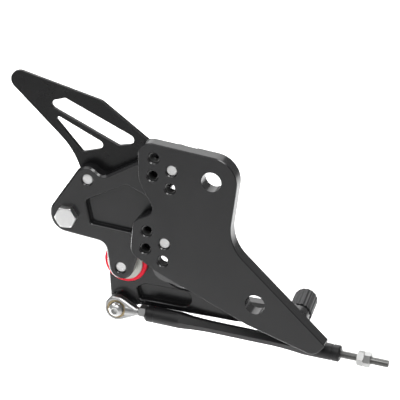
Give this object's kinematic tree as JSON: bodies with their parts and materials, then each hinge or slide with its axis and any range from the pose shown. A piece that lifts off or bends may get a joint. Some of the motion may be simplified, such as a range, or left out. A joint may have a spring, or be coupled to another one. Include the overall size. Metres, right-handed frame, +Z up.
{
  "type": "motorcycle rear set footrest with gear lever",
  "caption": "Left rear set: frame plate, adjustable peg carrier with heel guard and foot peg, and a ball-bearing gear lever with toe peg and linkage rod.",
  "frame": {"origin": "axis of the upper frame bore on the frame plate's inboard face", "axes": "+X forward on the motorcycle, +Y outboard (away from the frame, along the foot peg), +Z up"},
  "size_m": [0.289, 0.0935, 0.1979],
  "materials": {
    "black_anodised": "satin black anodised",
    "red_anodised": "satin red anodised",
    "zinc_steel": "bright zinc",
    "bearing_steel": "ground",
    "bronze": "plain",
    "grip_aluminium": "fluted, dark anodised"
  },
  "bodies": {
    "base": {"frame_plate": "black_anodised", "carrier_plate": "black_anodised", "carrier_bolts": "zinc_steel", "heel_guard": "black_anodised", "guard_screws": "zinc_steel", "footpeg": "grip_aluminium", "footpeg_bolt": "zinc_steel", "pivot_bolt": "zinc_steel", "pivot_sleeve": "bearing_steel", "thrust_washer": "zinc_steel", "end_washer": "zinc_steel", "bearing_inner_races": "bearing_steel"},
    "lever": {"shift_lever": "black_anodised", "bearing_collar": "red_anodised", "bearing_outer_races": "bearing_steel", "bearing_balls": "bearing_steel", "toe_peg": "grip_aluminium", "toe_peg_screw": "zinc_steel", "rod_end_ball": "bearing_steel", "rod_end_spacer": "zinc_steel", "rod_end_screw": "zinc_steel"},
    "rod": {"rod_end_eye": "zinc_steel", "rod_end_liner": "bronze", "rod_jam_nut": "zinc_steel", "shift_rod": "black_anodised", "rod_stud": "zinc_steel", "stud_nuts": "zinc_steel"}
  },
  "joints": [
    {"name": "lever_pivot", "type": "hinge", "parent": "base", "child": "lever", "pos_m": [-0.0729, 0.0305, -0.083], "axis": [0, 1, 0], "range_deg": [-12, 12]},
    {"name": "rod_swing", "type": "hinge", "parent": "lever", "child": "rod", "pos_m": [-0.0784, 0.0184, -0.12], "axis": [0, 1, 0], "range_deg": [-15, 45]}
  ]
}
